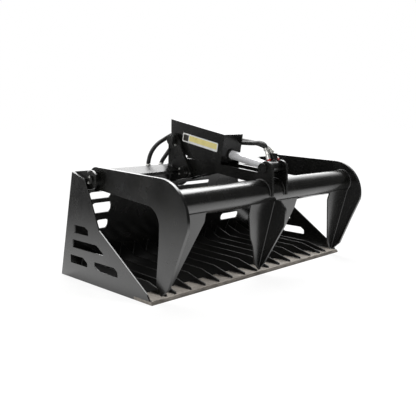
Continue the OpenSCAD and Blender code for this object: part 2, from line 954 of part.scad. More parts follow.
module guard_saddles() {
    half = guard_half_width - guard_sheet;
    color(steel)
        along_cylinder()
            for (z = saddle_places)
                difference() {
                    translate([-half, 0, z])
                        cube([2 * half, saddle_height, saddle_thickness]);
                    translate([0, 0, z - overrun])
                        cylinder(h = saddle_thickness + 2 * overrun, r = barrel_radius);
                    rotate([0, 0, -rod_port_turn])
                        translate([0, port_spread, z - overrun])
                            cylinder(h = saddle_thickness + 2 * overrun,
                                     r = hose_radius + hose_window);
                }
}

label_start = 66;
label_length = 346;
label_foot = 8;
label_height = 60;
label_thickness = 1.5;

module label_plate() {
    color([0.85, 0.84, 0.75])
        along_cylinder()
            translate([-guard_half_width - label_thickness, label_foot, label_start])
                cube([label_thickness, label_height, label_length]);
}

// Rod

module cylinder_piston() {
    outer = barrel_bore - rod_clearance;
    color(zinc)
        along_cylinder()
            difference() {
                tube(outer, rod_radius, piston_at, piston_at + piston_length);
                tube(outer + overrun, outer - seal_depth,
                     piston_at + piston_length * 0.4, piston_at + piston_length * 0.6);
            }
}

module cylinder_rod() {
    color(chrome)
        along_cylinder()
            difference() {
                translate([0, 0, piston_at])
                    cylinder(h = cylinder_length - piston_at, r = rod_radius);
                translate([0, 0, cylinder_length])
                    bar_x([0, 0], eye_radius, -eye_radius, eye_radius);
            }
}

module rod_eye() {
    color(steel)
        difference() {
            bar_x(rod_pin_at, eye_radius, -rod_eye_half, rod_eye_half);
            bar_x(rod_pin_at, pin_radius, -rod_eye_half - overrun,
                  rod_eye_half + overrun);
        }
}

module rod_pin_middle() {
    color(zinc)
        bar_x(rod_pin_at, pin_radius, -rod_eye_half, rod_eye_half);
}

// Hoses

function unit(v) = v / norm(v);
function tangents(path) =
    [for (i = [0:len(path) - 1])
        unit(path[min(i + 1, len(path) - 1)] - path[max(i - 1, 0)])];
function carried(t, i, n) =
    i == len(t) ? [] :
    let (m = unit(n - (n * t[i]) * t[i])) concat([m], carried(t, i + 1, m));

hose_sides = 10;

module hose(path) {
    t = tangents(path);
    side = carried(t, 0, [1, 0.2, 0.3]);
    last = len(path) - 1;
    points = [for (i = [0:last], j = [0:hose_sides - 1])
        let (a = 360 * j / hose_sides)
        path[i] + hose_radius * (cos(a) * side[i] + sin(a) * cross(t[i], side[i]))];
    walls = [for (i = [0:last - 1], j = [0:hose_sides - 1])
        let (k = (j + 1) % hose_sides)
        [i * hose_sides + j, (i + 1) * hose_sides + j,
         (i + 1) * hose_sides + k, i * hose_sides + k]];
    ends = [[for (j = [0:hose_sides - 1]) j],
            [for (j = [hose_sides - 1:-1:0]) last * hose_sides + j]];
    polyhedron(points = points, faces = concat(walls, ends), convexity = 6);
}

// A place in the cylinder's frame: across, above the axis, along the axis
function on_cylinder(p) =
    [p[0],
     base_pin_y - p[1] * sin(cylinder_slope) - p[2] * cos(cylinder_slope),
     base_pin_z + p[1] * cos(cylinder_slope) - p[2] * sin(cylinder_slope)];

bulkhead_radius = 17;
bulkhead_half = 20;
bulkhead_z = 645;
bulkhead_y = 850;
bulkhead_x = [-239, -121];
rod_port_side = [port_spread * sin(rod_port_turn), port_spread * cos(rod_port_turn)];

// The four ends at the bulkheads, clear of them by the sliding gap
function over_bulkhead(i) =
    [bulkhead_x[i], bulkhead_y, bulkhead_z + bulkhead_half + slide_gap];
function under_bulkhead(i) =
    [bulkhead_x[i], bulkhead_y, bulkhead_z - bulkhead_half - slide_gap];

base_hose_path = [
    on_cylinder([0, port_spread, base_port_at - port_nozzle - slide_gap]),
    on_cylinder([0, port_spread, base_port_at - port_nozzle - hose_radius]),
    on_cylinder([-4, port_spread + 2, 8]),
    [-22, 748, 923], [-48, 786, 903], [-78, 819, 879], [-108, 842, 856],
    [-145, 850, 836], [-180, 850, 808], [-210, 850, 776], [-230, 850, 735],
    [-238, 850, 700], [bulkhead_x[0], bulkhead_y, 682], over_bulkhead(0)];

rod_hose_path = [
    on_cylinder([rod_port_side[0], rod_port_side[1],
                 rod_port_at - port_nozzle - slide_gap]),
    on_cylinder([rod_port_side[0], rod_port_side[1], 200]),
    on_cylinder([rod_port_side[0], rod_port_side[1], 60]),
    on_cylinder([rod_port_side[0], rod_port_side[1] + 5, 10]),
    [39, 735, 924], [38, 772, 909], [33, 808, 884], [20, 835, 853], [-4, 848, 820],
    [-30, 850, 792], [-55, 850, 766], [-82, 850, 738], [-107, 850, 711],
    [-115, 850, 699], [-119, 850, 686], [bulkhead_x[1], bulkhead_y, 674], over_bulkhead(1)];

module port_hoses() {
    color(rubber) {
        hose(base_hose_path);
        hose(rod_hose_path);
    }
}

lead_hose_path = [
    under_bulkhead(0), [bulkhead_x[0], bulkhead_y, 604],
    [-224, 852, 568], [-188, 855, 536], [-132, 857, 518], [-60, 858, 512],
    [20, 858, 512], [100, 858, 524], [152, 857, 558], [178, 855, 620], [188, 848, 700],
    [197, 833, 786], [203, 800, 836], [205, 745, 866], [203, 670, 876], [190, 580, 878],
    [174, 480, 876], [160, 380, 870], [148, 300, 864], [141, 236, 858], [126, 170, 853],
    [112, 118, 848], [98, 75, 840], [87, 38, 830],
    [79, 8, 820], on_coupler(0, coupler_reach + 15), on_coupler(0, coupler_reach + slide_gap)];

second_lead_hose_path = [
    under_bulkhead(1), [bulkhead_x[1], bulkhead_y, 604],
    [-106, 853, 576], [-70, 856, 556], [-20, 857, 548], [36, 857, 550], [86, 857, 566],
    [120, 857, 596], [138, 856, 645], [149, 846, 714], [160, 824, 782], [169, 788, 826],
    [171, 738, 848], [168, 670, 852], [153, 580, 852], [137, 480, 850], [123, 380, 850],
    [115, 300, 850], [110, 236, 850], [94, 170, 851], [75, 118, 854], [62, 80, 858],
    [52, 48, 858], [46, 25, 854], [43.5, 10, 843.5], on_coupler(1, coupler_reach + 15),
    on_coupler(1, coupler_reach + slide_gap)];

module lead_hoses() {
    color(rubber) {
        hose(lead_hose_path);
        hose(second_lead_hose_path);
    }
}

module hose_bracket() {
    plate_reach = 24;
    color(steel)
        difference() {
            translate([bulkhead_x[0] - plate_reach, rail_rear, bulkhead_z])
                cube([bulkhead_x[1] - bulkhead_x[0] + 2 * plate_reach,
                      bulkhead_y - rail_rear + plate_reach, rail_wall]);
            for (x = bulkhead_x)
                translate([x, bulkhead_y, bulkhead_z - overrun])
                    cylinder(h = rail_wall + 2 * overrun, r = bulkhead_radius);
        }
    color(zinc)
        for (x = bulkhead_x)
            translate([x, bulkhead_y, bulkhead_z - bulkhead_half])
                cylinder(h = 2 * bulkhead_half, r = bulkhead_radius);
}

module place() {
    translate([0, -origin_y, 0])
        children();
}

place() {
    cutting_edge();
    side_plate(-1);  // side_plate_left
    side_plate(1);  // side_plate_right
    side_caps();
    hinge_ear(-1);  // hinge_ear_left
    hinge_ear(1);  // hinge_ear_right
    back_plate();
    top_rail();
    attach_lip();
    attach_foot();
    attach_gussets();
    tine(1);  // tine_01
    tine(2);  // tine_02
    tine(3);  // tine_03
    tine(4);  // tine_04
    tine(5);  // tine_05
    tine(6);  // tine_06
    tine(7);  // tine_07
    tine(8);  // tine_08
    tine(9);  // tine_09
    tine(10);  // tine_10
    tine(11);  // tine_11
    tine(12);  // tine_12
    tine(13);  // tine_13
    tine(14);  // tine_14
    tine(15);  // tine_15
    mast_plate(-1);  // mast_plate_left
    mast_plate(1);  // mast_plate_right
    side_hinge_pins();
    centre_hinge_pin();
    base_pin();
    keeper_bolts();
    hose_bracket();
    lid_arm(-1);  // lid_arm_left
    lid_arm(1);  // lid_arm_right
    lid_tube();
    centre_claw_plate();
    centre_claw_fin();
    side_claw(-1);  // side_claw_left
    side_claw(1);  // side_claw_right
    centre_arm(-1);  // centre_arm_left
    centre_arm(1);  // centre_arm_right
    hinge_hubs();
    rod_pin_ends();
    coupler_bracket();
    quick_couplers();
    dust_caps();
    cylinder_barrel();
    cylinder_base_eye();
    cylinder_gland();
    cylinder_ports();
    cylinder_guard();
    guard_saddles();
    label_plate();
    cylinder_piston();
    cylinder_rod();
    rod_eye();
    rod_pin_middle();
    port_hoses();
    lead_hoses();
}
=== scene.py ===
"""Looks of a rock grapple for a skid steer loader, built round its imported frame.

Metres throughout. X runs along the cutting edge, Y from the edge to the rear, Z up.
"""
import json
import math

import bmesh
import bpy
from mathutils import Matrix, Vector
from mathutils.bvhtree import BVHTree


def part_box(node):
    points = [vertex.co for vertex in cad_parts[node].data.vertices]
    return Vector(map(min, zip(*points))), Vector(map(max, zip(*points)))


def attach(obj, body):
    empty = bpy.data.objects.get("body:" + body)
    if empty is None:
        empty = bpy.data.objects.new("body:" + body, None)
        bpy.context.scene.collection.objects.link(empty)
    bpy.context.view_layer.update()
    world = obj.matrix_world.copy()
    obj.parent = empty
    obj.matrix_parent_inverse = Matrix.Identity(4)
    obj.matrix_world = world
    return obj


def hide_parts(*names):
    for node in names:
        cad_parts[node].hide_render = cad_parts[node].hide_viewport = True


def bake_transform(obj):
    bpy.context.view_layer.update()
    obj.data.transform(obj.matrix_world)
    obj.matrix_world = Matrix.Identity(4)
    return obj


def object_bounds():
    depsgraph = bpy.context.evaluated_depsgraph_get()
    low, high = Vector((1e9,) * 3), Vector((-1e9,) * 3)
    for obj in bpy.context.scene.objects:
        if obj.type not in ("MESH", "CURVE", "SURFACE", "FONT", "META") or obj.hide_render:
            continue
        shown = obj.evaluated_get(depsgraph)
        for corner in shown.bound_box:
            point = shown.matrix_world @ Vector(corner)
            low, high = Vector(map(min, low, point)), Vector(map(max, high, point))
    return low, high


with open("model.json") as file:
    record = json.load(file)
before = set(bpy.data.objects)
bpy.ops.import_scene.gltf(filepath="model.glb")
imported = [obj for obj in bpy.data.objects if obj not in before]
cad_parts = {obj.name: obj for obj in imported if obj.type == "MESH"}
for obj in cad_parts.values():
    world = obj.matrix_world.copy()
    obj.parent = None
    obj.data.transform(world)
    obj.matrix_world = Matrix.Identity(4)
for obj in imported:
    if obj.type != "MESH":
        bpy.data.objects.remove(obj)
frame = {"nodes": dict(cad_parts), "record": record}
frame_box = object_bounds()
nodes = frame["nodes"]
joint_at = {j["name"]: j.get("pos_m") for j in frame["record"]["behaviour"]["joints"]}
body_of_node = {n: body for body, names in frame["record"]["behaviour"]["bodies"].items()
                for n in names}
slot_of_node = {s["node"]: s["material_slot"] for s in frame["record"]["subparts"]}

# Camera, as the photograph was taken
CAMERA_PLACE = (-2.8995, -2.8058, 1.0526)
CAMERA_TURN = (80.854, 0.0, -44.667)
CAMERA_LENS = 51.28
SENSOR_WIDTH = 36.0


def add_camera():
    bpy.context.scene.view_settings.view_transform = "Standard"
    camera = bpy.data.objects.new("photo_camera", bpy.data.cameras.new("photo_camera"))
    camera.data.lens = CAMERA_LENS
    camera.data.sensor_width = SENSOR_WIDTH
    camera.location = CAMERA_PLACE
    camera.rotation_euler = [math.radians(a) for a in CAMERA_TURN]
    bpy.context.collection.objects.link(camera)
    bpy.context.scene.camera = camera


def add_softbox(name, place, aim, size, power):
    light = bpy.data.lights.new(name, "AREA")
    light.shape = "RECTANGLE"
    light.size, light.size_y = size
    light.energy = power
    box = bpy.data.objects.new(name, light)
    box.location = place
    box.rotation_mode = "QUATERNION"
    box.rotation_quaternion = (Vector(aim) - Vector(place)).to_track_quat("-Z", "Y")
    bpy.context.collection.objects.link(box)


def math_node(tree, operation, first, second):
    node = tree.nodes.new("ShaderNodeMath")
    node.operation = operation
    for value, socket in ((first, node.inputs[0]), (second, node.inputs[1])):
        if isinstance(value, (int, float)):
            socket.default_value = value
        else:
            tree.links.new(value, socket)
    return node.outputs[0]


def spread(tree, value, low, high, start=0.35, end=0.65):
    """Turns a noise value into one between low and high."""
    ramp = tree.nodes.new("ShaderNodeMapRange")
    ramp.inputs["From Min"].default_value = start
    ramp.inputs["From Max"].default_value = end
    ramp.inputs["To Min"].default_value = low
    ramp.inputs["To Max"].default_value = high
    tree.links.new(value, ramp.inputs["Value"])
    return ramp.outputs["Result"]


def seen_rays(tree):
    """1 for what the camera, a reflection or a see-through surface looks at, else 0."""
    rays = tree.nodes.new("ShaderNodeLightPath")
    first = math_node(tree, "MAXIMUM", rays.outputs["Is Camera Ray"], rays.outputs["Is Glossy Ray"])
    return math_node(tree, "MAXIMUM", first, rays.outputs["Is Transmission Ray"])


# The studio that the paint mirrors: a white backdrop behind the object, dark elsewhere
AMBIENT_LEVEL = 0.30
DARK_LEVEL = 0.12
BACKDROP_LEVEL = 3.5
BACKDROP_WAY = (0.50, 0.87, 0.0)
BACKDROP_EDGES = (0.28, 0.68)
SWEEP_EDGES = (0.78, 0.94)
WHITE = (1, 1, 1, 1)
# Softboxes: name, place, what it is aimed at, size, watts
SOFTBOXES = (("overhead_softbox", (1.15, 1.15, 3.9), (0, 0, 0.5), (4.2, 2.6), 300),
             ("left_softbox", (-4.6, -0.6, 1.7), (0, 0.1, 0.4), (2.4, 2.2), 75),
             ("front_softbox", (0.4, -4.6, 2.0), (0, 0, 0.3), (3.0, 1.8), 14))


def add_studio():
    world = bpy.data.worlds.new("studio")
    bpy.context.scene.world = world
    world.use_nodes = True
    tree = world.node_tree
    tree.nodes.clear()
    out = tree.nodes.new("ShaderNodeOutputWorld")
    mix = tree.nodes.new("ShaderNodeMixShader")
    lit = tree.nodes.new("ShaderNodeBackground")
    seen = tree.nodes.new("ShaderNodeBackground")
    rays = tree.nodes.new("ShaderNodeLightPath")
    place = tree.nodes.new("ShaderNodeTexCoord")
    split = tree.nodes.new("ShaderNodeSeparateXYZ")
    tree.links.new(place.outputs["Generated"], split.inputs[0])
    behind = tree.nodes.new("ShaderNodeVectorMath")
    behind.operation = "DOT_PRODUCT"
    tree.links.new(place.outputs["Generated"], behind.inputs[0])
    behind.inputs[1].default_value = BACKDROP_WAY
    backdrop = spread(tree, behind.outputs["Value"], 0.0, BACKDROP_LEVEL, *BACKDROP_EDGES)
    sweep = spread(tree, split.outputs["Z"], 1.0, 0.0, *SWEEP_EDGES)
    mirrored = math_node(tree, "ADD", math_node(tree, "MULTIPLY", backdrop, sweep), DARK_LEVEL)
    is_camera = rays.outputs["Is Camera Ray"]
    unseen = math_node(tree, "SUBTRACT", 1.0, is_camera)
    level = math_node(tree, "ADD", math_node(tree, "MULTIPLY", unseen, mirrored), is_camera)
    lit.inputs["Color"].default_value = WHITE
    lit.inputs["Strength"].default_value = AMBIENT_LEVEL
    seen.inputs["Color"].default_value = WHITE
    tree.links.new(level, seen.inputs["Strength"])
    tree.links.new(seen_rays(tree), mix.inputs["Fac"])
    tree.links.new(lit.outputs[0], mix.inputs[1])
    tree.links.new(seen.outputs[0], mix.inputs[2])
    tree.links.new(mix.outputs[0], out.inputs["Surface"])
    for softbox in SOFTBOXES:
        add_softbox(*softbox)


FLOOR_SIZE = 60.0
FLOOR_SHARE = 0.84
FLOOR_GLOW = 1.06
FLOOR_TONE = (0.86, 0.86, 0.85, 1)
FAR_START, FAR_END = 1.3, 2.6
# What the paint mirrors of the floor: bright round the object, fading into the dark studio; the
# brightness near the object is a painted pool of light, seen only in reflections
MIRRORED_NEAR, MIRRORED_FAR = 2.2, 0.09
MIRRORED_START, MIRRORED_END = 0.9, 4.0
# Under and close round the object the mirrored floor is dark: a painted shadow, seen only in
# reflections
SHADED_LEVEL = 0.12
SHADED_HALF = (0.92, 0.50)
SHADED_EDGES = (0.85, 1.15)


def add_floor():
    mesh = bpy.data.meshes.new("studio_floor")
    bm = bmesh.new()
    bmesh.ops.create_grid(bm, x_segments=1, y_segments=1, size=FLOOR_SIZE / 2)
    bm.to_mesh(mesh)
    bm.free()
    floor = bpy.data.objects.new("studio_floor", mesh)
    bpy.context.collection.objects.link(floor)
    material = bpy.data.materials.new("floor_white")
    material.use_nodes = True
    tree = material.node_tree
    tree.nodes.clear()
    out = tree.nodes.new("ShaderNodeOutputMaterial")
    mix = tree.nodes.new("ShaderNodeMixShader")
    matt = tree.nodes.new("ShaderNodeBsdfDiffuse")
    glow = tree.nodes.new("ShaderNodeEmission")
    place = tree.nodes.new("ShaderNodeTexCoord")
    length = tree.nodes.new("ShaderNodeVectorMath")
    length.operation = "LENGTH"
    tree.links.new(place.outputs["Object"], length.inputs[0])
    far = length.outputs["Value"]
    share = spread(tree, far, FLOOR_SHARE, 1.0, FAR_START, FAR_END)
    rays = tree.nodes.new("ShaderNodeLightPath")
    mirrored = spread(tree, far, MIRRORED_NEAR, MIRRORED_FAR, MIRRORED_START, MIRRORED_END)
    split = tree.nodes.new("ShaderNodeSeparateXYZ")
    tree.links.new(place.outputs["Object"], split.inputs[0])
    beside = [math_node(tree, "DIVIDE", math_node(tree, "ABSOLUTE", split.outputs[i], 0.0),
                        SHADED_HALF[i]) for i in (0, 1)]
    # Painted shadow of the object, darkening the mirrored floor under and close round it
    painted_floor_shadow = spread(tree, math_node(tree, "MAXIMUM", *beside), SHADED_LEVEL, 1.0, *SHADED_EDGES)
    mirrored = math_node(tree, "MULTIPLY", mirrored, painted_floor_shadow)
    is_camera = rays.outputs["Is Camera Ray"]
    shown = math_node(tree, "MULTIPLY", is_camera, FLOOR_GLOW)
    unseen = math_node(tree, "SUBTRACT", 1.0, is_camera)
    level = math_node(tree, "ADD", shown, math_node(tree, "MULTIPLY", unseen, mirrored))
    matt.inputs["Color"].default_value = FLOOR_TONE
    glow.inputs["Color"].default_value = WHITE
    tree.links.new(level, glow.inputs["Strength"])
    tree.links.new(math_node(tree, "MULTIPLY", seen_rays(tree), share), mix.inputs["Fac"])
    tree.links.new(matt.outputs[0], mix.inputs[1])
    tree.links.new(glow.outputs[0], mix.inputs[2])
    tree.links.new(mix.outputs[0], out.inputs["Surface"])
    mesh.materials.append(material)


# Finishes

def start_material(name):
    material = bpy.data.materials.new(name)
    material.use_nodes = True
    tree = material.node_tree
    place = tree.nodes.new("ShaderNodeTexCoord")
    return material, tree, tree.nodes["Principled BSDF"], place.outputs["Object"]


def noise(tree, place, scale, detail=4.0, roughness=0.55, stretch=None):
    texture = tree.nodes.new("ShaderNodeTexNoise")
    texture.inputs["Scale"].default_value = scale
    texture.inputs["Detail"].default_value = detail
    texture.inputs["Roughness"].default_value = roughness
    if stretch:
        mapping = tree.nodes.new("ShaderNodeMapping")
        mapping.inputs["Scale"].default_value = stretch
        tree.links.new(place, mapping.inputs["Vector"])
        place = mapping.outputs["Vector"]
    tree.links.new(place, texture.inputs["Vector"])
    return texture.outputs["Fac"]


def colours(tree, value, stops):
    ramp = tree.nodes.new("ShaderNodeValToRGB")
    elements = ramp.color_ramp.elements
    while len(elements) < len(stops):
        elements.new(0.5)
    for element, (place, colour) in zip(elements, stops):
        element.position = place
        element.color = (*colour, 1)
    tree.links.new(value, ramp.inputs["Fac"])
    return ramp.outputs["Color"]


def bump(tree, shader, height, strength, distance):
    node = tree.nodes.new("ShaderNodeBump")
    node.inputs["Strength"].default_value = strength
    node.inputs["Distance"].default_value = distance
    tree.links.new(height, node.inputs["Height"])
    tree.links.new(node.outputs["Normal"], shader.inputs["Normal"])


def mixed(tree, value, first, second):
    mix = tree.nodes.new("ShaderNodeMix")
    mix.data_type = "RGBA"
    tree.links.new(value, mix.inputs["Factor"])
    for source, socket in ((first, mix.inputs[6]), (second, mix.inputs[7])):
        if isinstance(source, tuple):
            socket.default_value = (*source, 1)
        else:
            tree.links.new(source, socket)
    return mix.outputs[2]


def facing_up(tree, start=0.6, end=1.0):
    """1 where the surface looks up, so that dust can settle there."""
    geometry = tree.nodes.new("ShaderNodeNewGeometry")
    split = tree.nodes.new("ShaderNodeSeparateXYZ")
    tree.links.new(geometry.outputs["Normal"], split.inputs[0])
    return spread(tree, split.outputs["Z"], 0.0, 1.0, start, end)


def black_paint(name, rough, sheen):
    """Gloss paint with a fine peel and a little dust where it looks up."""
    material, tree, shader, place = start_material(name)
    cloud = noise(tree, place, 5.0)
    peel = noise(tree, place, 420.0, detail=2.0)
    rolled = noise(tree, place, 6.0, detail=3.0)
    dust = noise(tree, place, 60.0, detail=8.0, roughness=0.7)
    paint = colours(tree, cloud, [(0.3, (0.003, 0.003, 0.003)), (0.7, (0.006, 0.006, 0.005))])
    settled = math_node(tree, "MULTIPLY", facing_up(tree), spread(tree, dust, 0.0, 0.05, 0.45, 0.8))
    tree.links.new(mixed(tree, settled, paint, (0.08, 0.075, 0.068)), shader.inputs["Base Color"])
    tree.links.new(spread(tree, rolled, *rough), shader.inputs["Roughness"])
    shader.inputs["Specular IOR Level"].default_value = sheen
    bump(tree, shader, peel, 0.04, 0.0005)
    return material


def worn_steel():
    """Bare plate, rusty brown and streaked along its length."""
    material, tree, shader, place = start_material("worn_steel")
    cloud = noise(tree, place, 14.0, detail=8.0, roughness=0.65)
    streak = noise(tree, place, 40.0, detail=6.0, stretch=(0.12, 1, 1))
    grit = noise(tree, place, 300.0, detail=4.0)
    steel = colours(tree, cloud, [(0.25, (0.105, 0.094, 0.080)), (0.5, (0.19, 0.172, 0.150)),
                                  (0.75, (0.30, 0.275, 0.240))])
    tree.links.new(mixed(tree, spread(tree, streak, 0.0, 0.5), steel, (0.14, 0.122, 0.104)),
                   shader.inputs["Base Color"])
    tree.links.new(spread(tree, streak, 0.45, 0.68), shader.inputs["Roughness"])
    shader.inputs["Metallic"].default_value = 0.35
    bump(tree, shader, grit, 0.18, 0.0006)
    return material


def metal(name, dark, light, rough, scale, grain, bumped=0.05, metallic=1.0):
    """Bright metal with clouds of that scale and a grain that varies its roughness."""
    material, tree, shader, place = start_material(name)
    cloud = noise(tree, place, scale, detail=5.0)
    fine = noise(tree, place, grain, detail=3.0)
    tree.links.new(colours(tree, cloud, [(0.3, dark), (0.7, light)]), shader.inputs["Base Color"])
    tree.links.new(spread(tree, fine, rough[0], rough[1]), shader.inputs["Roughness"])
    shader.inputs["Metallic"].default_value = metallic
    bump(tree, shader, fine, bumped, 0.0003)
    return material


def hose_rubber():
    material, tree, shader, place = start_material("hose_rubber")
    grit = noise(tree, place, 160.0, detail=5.0)
    cloud = noise(tree, place, 12.0)
    tree.links.new(colours(tree, cloud, [(0.3, (0.010, 0.010, 0.010)), (0.7, (0.02, 0.02, 0.019))]),
                   shader.inputs["Base Color"])
    tree.links.new(spread(tree, grit, 0.48, 0.62), shader.inputs["Roughness"])
    shader.inputs["Specular IOR Level"].default_value = 0.35
    bump(tree, shader, grit, 0.25, 0.0008)
    return material


def highlit_cut_edges(name, dark, light):
    """Thin paint over a flame-cut edge, ribbed across the plate, its colour lighter than the black
    paint: a painted highlight where light catches the edge.
    """
    material, tree, shader, place = start_material(name)
    ribs = noise(tree, place, 140.0, detail=3.0, stretch=(0.08, 1, 1))
    cloud = noise(tree, place, 18.0, detail=5.0)
    tree.links.new(colours(tree, cloud, [(0.35, dark), (0.65, light)]), shader.inputs["Base Color"])
    tree.links.new(spread(tree, ribs, 0.40, 0.58), shader.inputs["Roughness"])
    bump(tree, shader, ribs, 0.2, 0.0008)
    return material


def moulded(name, dark, light, rough):
    """Plastic or printed film, one colour with slight clouds."""
    material, tree, shader, place = start_material(name)
    cloud = noise(tree, place, 30.0)
    grain = noise(tree, place, 500.0, detail=2.0)
    tree.links.new(colours(tree, cloud, [(0.3, dark), (0.7, light)]), shader.inputs["Base Color"])
    tree.links.new(spread(tree, cloud, rough - 0.05, rough + 0.07), shader.inputs["Roughness"])
    bump(tree, shader, grain, 0.06, 0.0003)
    return material


finish_of_slot = {
    "black_paint": black_paint("black_paint", (0.21, 0.29), 0.55),
    "worn_steel": worn_steel(),
    "machined_steel": metal("machined_steel", (0.42, 0.42, 0.43), (0.6, 0.6, 0.6), (0.2, 0.34),
                            20, 300),
    "zinc_plate": metal("zinc_plate", (0.55, 0.55, 0.52), (0.74, 0.73, 0.70), (0.30, 0.44),
                        30, 260, metallic=0.8),
    "hard_chrome": metal("hard_chrome", (0.88, 0.88, 0.90), (0.93, 0.93, 0.95), (0.27, 0.29),
                         18, 200, 0.01, metallic=0.42),
    "hose_rubber": hose_rubber(),
    "red_plastic": moulded("red_plastic", (0.42, 0.02, 0.015), (0.58, 0.035, 0.03), 0.42),
    "label_film": moulded("label_film", (0.78, 0.78, 0.76), (0.86, 0.86, 0.84), 0.3),
}
# Lighter paints for cut edges, as painted highlight: faint on the arms, grey on the side plates, near
# white on the tines' tops
cut_highlight = highlit_cut_edges("cut_highlight", (0.035, 0.034, 0.032), (0.06, 0.058, 0.055))
side_cut_highlight = highlit_cut_edges("side_cut_highlight", (0.36, 0.35, 0.33), (0.50, 0.485, 0.46))
tine_cut_highlight = highlit_cut_edges("tine_cut_highlight", (0.72, 0.71, 0.69), (0.90, 0.89, 0.87))
# A rougher copy of the black paint that reflects less, for the tines' sides: painted shade where they
# lie in shadow
shaded_tine_paint = black_paint("shaded_tine_paint", (0.40, 0.50), 0.15)
label_yellow = moulded("label_yellow", (0.80, 0.70, 0.26), (0.88, 0.78, 0.32), 0.32)
label_dark = moulded("label_dark", (0.025, 0.022, 0.02), (0.04, 0.036, 0.03), 0.32)


def dress(piece, finish):
    piece.data.materials.clear()
    piece.data.materials.append(finish)


def dress_nodes():
    for name, piece in nodes.items():
        finish = finish_of_slot[slot_of_node[name]]
        if not piece.material_slots:
            piece.data.materials.append(finish)
        for material_slot in piece.material_slots:
            material_slot.material = finish


# Shapes worked over from the frame

FLAT_TURN = math.radians(1.0)
EDGE_TURN = math.radians(30.0)
SHARP_TURN = math.radians(38.0)
MERGE_REACH = 0.00002
PLATE_BREAK, SHEET_BREAK, FINE_BREAK, NO_BREAK = 0.0013, 0.0009, 0.0006, 0
BREAK_SEGMENTS = 2
SLOT_CORNER = 0.009
CORNER_SEGMENTS = 5
# A face of a plate across X that turns further from X than this was cut
CUT_FACING = 0.8


def merged_copy(node):
    """The node's own surface with its doubled corners joined, in the frame's metres."""
    bm = bmesh.new()
    bm.from_mesh(nodes[node].data)
    bm.transform(nodes[node].matrix_world)
    bmesh.ops.remove_doubles(bm, verts=bm.verts, dist=MERGE_REACH)
    bmesh.ops.dissolve_limit(bm, angle_limit=FLAT_TURN, verts=bm.verts, edges=bm.edges,
                             use_dissolve_boundaries=False)
    bm.normal_update()
    return bm


def convex_edges(bm):
    """The outer edges that a grinder would break."""
    return [e for e in bm.edges
            if len(e.link_faces) == 2 and e.is_convex and e.calc_face_angle(0) > EDGE_TURN]


def finish_mesh(bm, name):
    """A shaded object of that surface, round faces smooth and edges crisp."""
    for face in bm.faces:
        face.smooth = True
    for edge in bm.edges:
        edge.smooth = len(edge.link_faces) != 2 or edge.calc_face_angle(0) < SHARP_TURN
    mesh = bpy.data.meshes.new(name)
    bm.to_mesh(mesh)
    bm.free()
    return add_object(name, mesh)


def add_object(name, mesh):
    piece = bpy.data.objects.new(name, mesh)
    bpy.context.collection.objects.link(piece)
    return piece


def settle(piece, body, slot, *replaced):
    """Paints a finished piece for its slot and lets it move with its body."""
    dress(piece, finish_of_slot[slot])
    if replaced:
        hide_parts(*replaced)
    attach(piece, body)


def round_corners(bm):
    """Rounds the inner corners of openings cut through a plate that lies across X."""
    corners = [e for e in bm.edges
               if len(e.link_faces) == 2 and not e.is_convex
               and e.calc_face_angle(0) > EDGE_TURN
               and abs((e.verts[1].co - e.verts[0].co).normalized().x) > CUT_FACING]
    bmesh.ops.bevel(bm, geom=corners, offset=SLOT_CORNER, offset_type="OFFSET", affect="EDGES",
                    segments=CORNER_SEGMENTS, profile=0.5, material=-1, clamp_overlap=True)
    bm.normal_update()


def soften(node, width, cut=None):
    """Replaces a node by its own shape with its outer edges broken, as ground steel has.

    A width of zero leaves the edges and only evens the shading. Where cut names a finish, the plate's
    narrow faces, which were cut, get it: a lighter paint that is a painted highlight along those edges.
    """
    bm = merged_copy(node)
    if node in rounded_nodes:
        round_corners(bm)
    if width:
        bmesh.ops.bevel(bm, geom=convex_edges(bm), offset=width, offset_type="OFFSET",
                        affect="EDGES", segments=BREAK_SEGMENTS, profile=0.5, material=-1,
                        clamp_overlap=False)
    if cut:
        bm.normal_update()
        for face in bm.faces:
            face.material_index = 1 if abs(face.normal.x) < CUT_FACING else 0
    piece = finish_mesh(bm, "ground_" + node)
    even = piece.modifiers.new("even_shading", "WEIGHTED_NORMAL")
    even.keep_sharp = True
    settle(piece, body_of_node[node], slot_of_node[node], node)
    if cut:
        piece.data.materials.append(cut)
    return piece


tine_names = sorted(n for n in nodes if n.startswith("tine_"))
rounded_nodes = ("side_plate_left", "side_plate_right")

# Nodes by how wide their edges are broken
plate_nodes = ["side_plate_left", "side_plate_right", "side_caps", "top_rail", "attach_lip",
               "attach_foot", "attach_gussets", "mast_plate_left", "mast_plate_right",
               "lid_arm_left", "lid_arm_right", "centre_claw_plate", "centre_claw_fin",
               "side_claw_left", "side_claw_right", "centre_arm_left", "centre_arm_right",
               "cutting_edge", "cylinder_guard", "hinge_hubs", "cylinder_base_eye",
               "cylinder_gland", "rod_eye"] + tine_names
sheet_nodes = ["back_plate", "hose_bracket", "coupler_bracket", "side_hinge_pins",
               "centre_hinge_pin", "base_pin", "rod_pin_ends"]
fine_nodes = ["keeper_bolts", "dust_caps", "hinge_ear_left", "hinge_ear_right"]
unbroken_nodes = ["quick_couplers", "cylinder_ports", "guard_saddles"]

# Plates that lie across X: their narrow, cut faces get a lighter paint, a painted highlight along the
# edges
cut_highlight_of_node = {n: cut_highlight for n in ("lid_arm_left", "lid_arm_right", "centre_arm_left",
                                      "centre_arm_right", "centre_claw_fin",
                                      "mast_plate_left", "mast_plate_right")}
cut_highlight_of_node.update((n, side_cut_highlight) for n in rounded_nodes)
cut_highlight_of_node.update((n, tine_cut_highlight) for n in tine_names)


